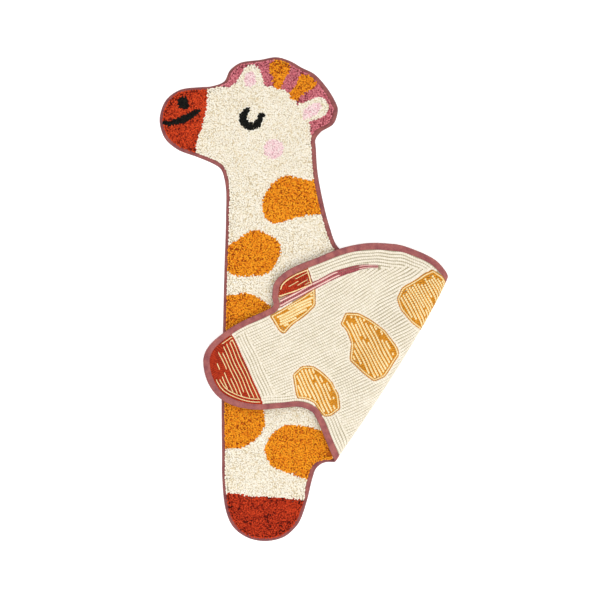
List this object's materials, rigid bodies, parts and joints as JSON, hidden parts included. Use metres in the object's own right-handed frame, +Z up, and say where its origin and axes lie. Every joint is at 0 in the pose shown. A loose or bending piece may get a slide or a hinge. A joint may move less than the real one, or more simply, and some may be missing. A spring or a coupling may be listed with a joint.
{
  "type": "tufted animal-shaped kids rug, folded over",
  "caption": "Giraffe-shaped tufted cotton rug with a bound edge, lying on the floor with its hindquarters folded over so that the stitched back shows.",
  "frame": {"origin": "on the floor, at the middle of the space that the folded rug takes up", "axes": "+Z up; +Y from the front hoof towards the head; +X from the muzzle's side towards the fold"},
  "size_m": [0.6542, 1.0998, 0.0419],
  "materials": {
    "cotton_pile": "matt cut cotton pile, cream with orange spots and dark red hooves and muzzle",
    "binding_tape": "matt woven cotton tape, dusty mauve"
  },
  "bodies": {
    "root": {"tufted_cloth": "cotton_pile", "edge_binding": "binding_tape"}
  },
  "joints": []
}
